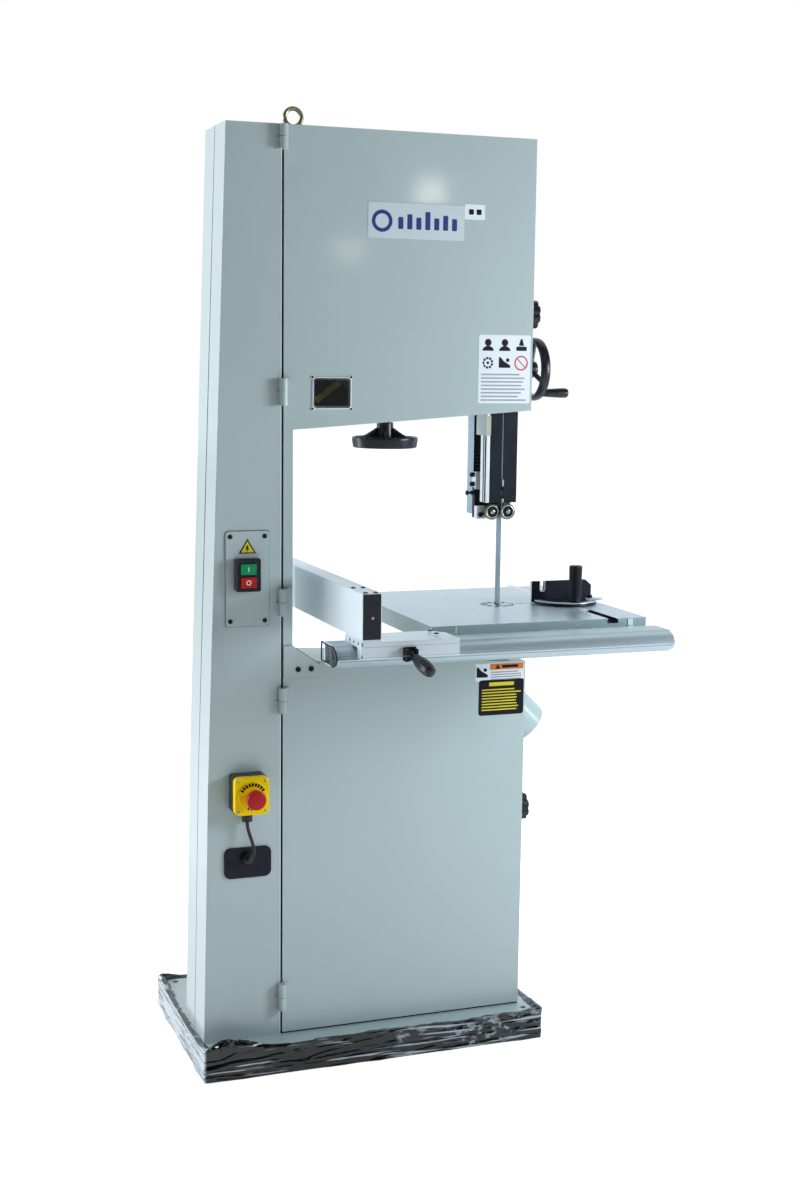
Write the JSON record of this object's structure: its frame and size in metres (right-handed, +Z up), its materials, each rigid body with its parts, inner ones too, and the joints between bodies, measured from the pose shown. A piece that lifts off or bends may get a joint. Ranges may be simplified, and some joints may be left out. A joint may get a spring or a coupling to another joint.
{
  "type": "floor-standing band saw",
  "caption": "Floor-standing wood band saw: painted C-frame with a full-height door, tilting cast table, rip fence, miter gauge and wrapped foot frame.",
  "frame": {"origin": "middle of the foot frame's underside, on the floor", "axes": "+Z up; +X to the operator's right, -Y towards the operator"},
  "size_m": [0.9255, 0.8057, 1.977],
  "materials": {
    "paint": "satin orange-peel enamel",
    "film": "glossy wound film",
    "casting": "ground and painted casting",
    "steel": "machined",
    "blade_steel": "blue-grey strip steel",
    "aluminium": "brushed extrusion",
    "black_plastic": "moulded",
    "black_metal": "black satin",
    "yellow_plastic": "moulded",
    "red_plastic": "moulded",
    "green_plastic": "moulded",
    "brass": "turned",
    "zinc": "yellow passivated",
    "tyre": "rubber",
    "window": "smoked sheet",
    "motor_paint": "enamel"
  },
  "bodies": {
    "frame": {"base_frame": "paint", "base_wrap": "film", "front_shell": "paint", "rear_shell": "paint", "eyebolt": "zinc", "dust_port": "paint", "hinge_leaves": "paint", "switch_plate": "paint", "switch_body": "black_plastic", "estop_box": "black_plastic", "estop_cover": "yellow_plastic", "cable": "black_plastic", "casing_screws": "steel", "bearing_housing": "casting", "motor": "motor_paint", "drive_belt": "tyre", "blade": "blade_steel", "trunnion_base": "casting", "lower_guide_block": "aluminium", "upper_brackets": "casting", "tension_spring": "steel"},
    "door_leaf": {"door": "paint", "door_window": "window", "door_knuckles": "paint", "gusset_plate": "paint"},
    "upper_latch": {"upper_latch_knob": "black_plastic"},
    "lower_latch": {"lower_latch_knob": "black_plastic"},
    "lower_wheel_set": {"lower_wheel": "casting", "lower_tyre": "tyre", "drive_pulley": "casting"},
    "upper_carrier": {"wheel_carrier": "casting"},
    "upper_wheel_set": {"upper_wheel": "casting", "upper_tyre": "tyre"},
    "tension_control": {"tension_handwheel": "black_plastic", "tension_screw": "steel"},
    "motor_rotor": {"motor_pulley": "steel"},
    "guide": {"guide_post": "steel", "guide_block": "aluminium", "blade_guard": "black_metal"},
    "guide_roller_left": {"upper_roller_left": "brass"},
    "guide_roller_right": {"upper_roller_right": "brass"},
    "guide_roller_rear": {"thrust_roller": "steel"},
    "guide_crank": {"guide_handwheel": "black_plastic"},
    "crank_handle": {"crank_grip": "black_plastic"},
    "under_roller_left": {"lower_roller_left": "brass"},
    "under_roller_right": {"lower_roller_right": "brass"},
    "table_top": {"table": "casting", "table_insert": "aluminium", "fence_rail": "aluminium", "trunnion_arcs": "casting"},
    "fence_slider": {"fence_carriage": "aluminium", "fence": "aluminium"},
    "fence_lock": {"fence_lever": "black_plastic"},
    "miter_slider": {"miter_bar": "steel"},
    "miter_protractor": {"miter_head": "black_metal"},
    "miter_knob": {"miter_handle": "black_plastic"},
    "tilt_lock": {"tilt_lever": "black_plastic"},
    "start_key": {"start_button": "green_plastic"},
    "stop_key": {"stop_button": "red_plastic"},
    "emergency_key": {"estop_button": "red_plastic"}
  },
  "joints": [
    {"name": "door_swing", "type": "hinge", "parent": "frame", "child": "door_leaf", "pos_m": [-0.201, -0.1792, 0.962], "axis": [0, 0, -1], "range_deg": [0, 110]},
    {"name": "upper_latch_turn", "type": "hinge", "parent": "frame", "child": "upper_latch", "pos_m": [0.346, -0.108, 1.576], "axis": [1, 0, 0], "range_deg": [0, 360]},
    {"name": "lower_latch_turn", "type": "hinge", "parent": "frame", "child": "lower_latch", "pos_m": [0.346, -0.108, 0.497], "axis": [1, 0, 0], "range_deg": [0, 360]},
    {"name": "lower_wheel_spin", "type": "hinge", "parent": "frame", "child": "lower_wheel_set", "pos_m": [0.055, -0.1045, 0.552], "axis": [0, 1, 0], "continuous": true},
    {"name": "tension_turn", "type": "hinge", "parent": "frame", "child": "tension_control", "pos_m": [0.055, -0.066, 1.302], "axis": [0, 0, 1], "range_deg": [-1082, 0]},
    {"name": "tension_slide", "type": "slide", "parent": "frame", "child": "upper_carrier", "axis": [0, 0, 1], "range_m": [-0.009, 0], "deforming": ["tension_spring"]},
    {"name": "upper_wheel_spin", "type": "hinge", "parent": "upper_carrier", "child": "upper_wheel_set", "pos_m": [0.055, -0.1045, 1.642], "axis": [0, 1, 0], "continuous": true},
    {"name": "motor_spin", "type": "hinge", "parent": "frame", "child": "motor_rotor", "pos_m": [0.189, -0.071, 0.247], "axis": [0, 1, 0], "continuous": true},
    {"name": "guide_height", "type": "slide", "parent": "frame", "child": "guide", "axis": [0, 0, 1], "range_m": [-0.17, 0.115]},
    {"name": "guide_crank_turn", "type": "hinge", "parent": "frame", "child": "guide_crank", "pos_m": [0.389, -0.082, 1.46], "axis": [1, 0, 0], "range_deg": [-650, 440]},
    {"name": "crank_grip_spin", "type": "hinge", "parent": "guide_crank", "child": "crank_handle", "pos_m": [0.419, -0.115, 1.41], "axis": [1, 0, 0], "continuous": true},
    {"name": "guide_roller_left_spin", "type": "hinge", "parent": "guide", "child": "guide_roller_left", "pos_m": [0.28695, -0.105, 1.155], "axis": [0, 1, 0], "continuous": true},
    {"name": "guide_roller_right_spin", "type": "hinge", "parent": "guide", "child": "guide_roller_right", "pos_m": [0.32305, -0.105, 1.155], "axis": [0, 1, 0], "continuous": true},
    {"name": "guide_roller_rear_spin", "type": "hinge", "parent": "guide", "child": "guide_roller_rear", "pos_m": [0.317, -0.087, 1.189], "axis": [0, 1, 0], "continuous": true},
    {"name": "under_roller_left_spin", "type": "hinge", "parent": "frame", "child": "under_roller_left", "pos_m": [0.28695, -0.105, 0.858], "axis": [0, 1, 0], "continuous": true},
    {"name": "under_roller_right_spin", "type": "hinge", "parent": "frame", "child": "under_roller_right", "pos_m": [0.32305, -0.105, 0.858], "axis": [0, 1, 0], "continuous": true},
    {"name": "table_tilt", "type": "hinge", "parent": "frame", "child": "table_top", "pos_m": [0.305, -0.104, 0.952], "axis": [0, 1, 0], "range_deg": [-5, 35]},
    {"name": "fence_travel", "type": "slide", "parent": "table_top", "child": "fence_slider", "axis": [1, 0, 0], "range_m": [0, 0.33]},
    {"name": "fence_lock_turn", "type": "hinge", "parent": "fence_slider", "child": "fence_lock", "pos_m": [-0.04, -0.494, 0.926], "axis": [-1, 0, 0], "range_deg": [0, 60]},
    {"name": "miter_travel", "type": "slide", "parent": "table_top", "child": "miter_slider", "axis": [0, 1, 0], "range_m": [-0.125, 0.18]},
    {"name": "miter_angle", "type": "hinge", "parent": "miter_slider", "child": "miter_protractor", "pos_m": [0.458, -0.122, 0.952], "axis": [0, 0, 1], "range_deg": [-60, 60]},
    {"name": "miter_lock_turn", "type": "hinge", "parent": "miter_protractor", "child": "miter_knob", "pos_m": [0.458, -0.175, 0.962], "axis": [0, 0, 1], "range_deg": [-90, 90]},
    {"name": "tilt_lock_turn", "type": "hinge", "parent": "frame", "child": "tilt_lock", "pos_m": [0.257, 0.01, 0.858], "axis": [0, 1, 0], "range_deg": [-25, 25]},
    {"name": "start_push", "type": "slide", "parent": "frame", "child": "start_key", "axis": [0, 1, 0], "range_m": [0, 0.003]},
    {"name": "stop_push", "type": "slide", "parent": "frame", "child": "stop_key", "axis": [0, 1, 0], "range_m": [0, 0.003]},
    {"name": "estop_push", "type": "slide", "parent": "frame", "child": "emergency_key", "axis": [0, 1, 0], "range_m": [0, 0.006]}
  ],
  "couplings": [
    {"joint": "tension_turn", "follows": "tension_slide", "rad_per_m": 2094.4},
    {"joint": "upper_wheel_spin", "follows": "lower_wheel_spin", "ratio": 1},
    {"joint": "motor_spin", "follows": "lower_wheel_spin", "ratio": 2.4444},
    {"joint": "guide_crank_turn", "follows": "guide_height", "rad_per_m": 66.667}
  ]
}
